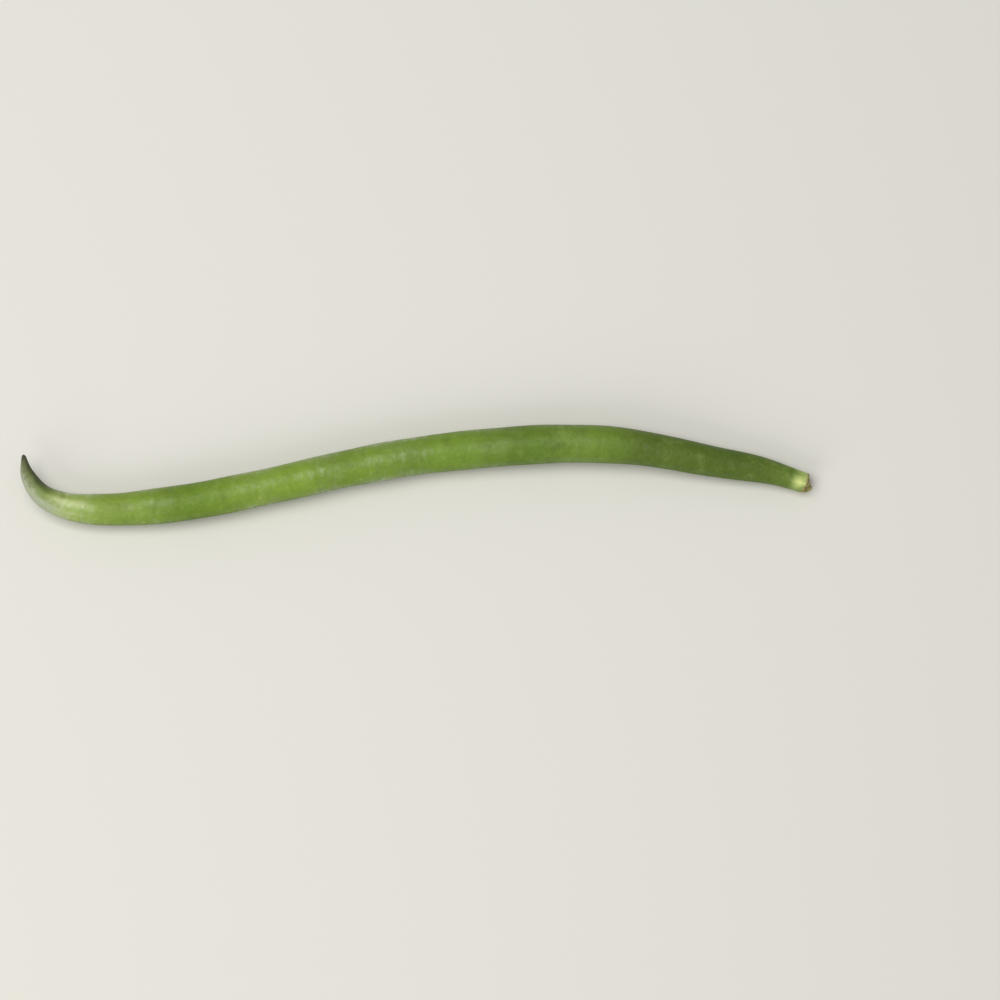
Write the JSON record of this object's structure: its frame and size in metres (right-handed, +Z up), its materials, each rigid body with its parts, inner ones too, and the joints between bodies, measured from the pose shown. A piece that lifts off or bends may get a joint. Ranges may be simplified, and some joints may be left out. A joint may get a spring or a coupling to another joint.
{
  "type": "green bean",
  "caption": "Fresh green bean pod with a curled beak, slight seed swellings, two fine seams and a torn stem end, lying on its side.",
  "frame": {"origin": "on the surface that the pod lies on, under the middle of its bounding box", "axes": "+X from the curled beak to the torn stem end, +Y across the pod towards the side the beak curls to, +Z up"},
  "size_m": [0.1564, 0.0202, 0.0079],
  "materials": {
    "pod_skin": "satin"
  },
  "bodies": {
    "root": {"pod": "pod_skin"}
  },
  "joints": []
}
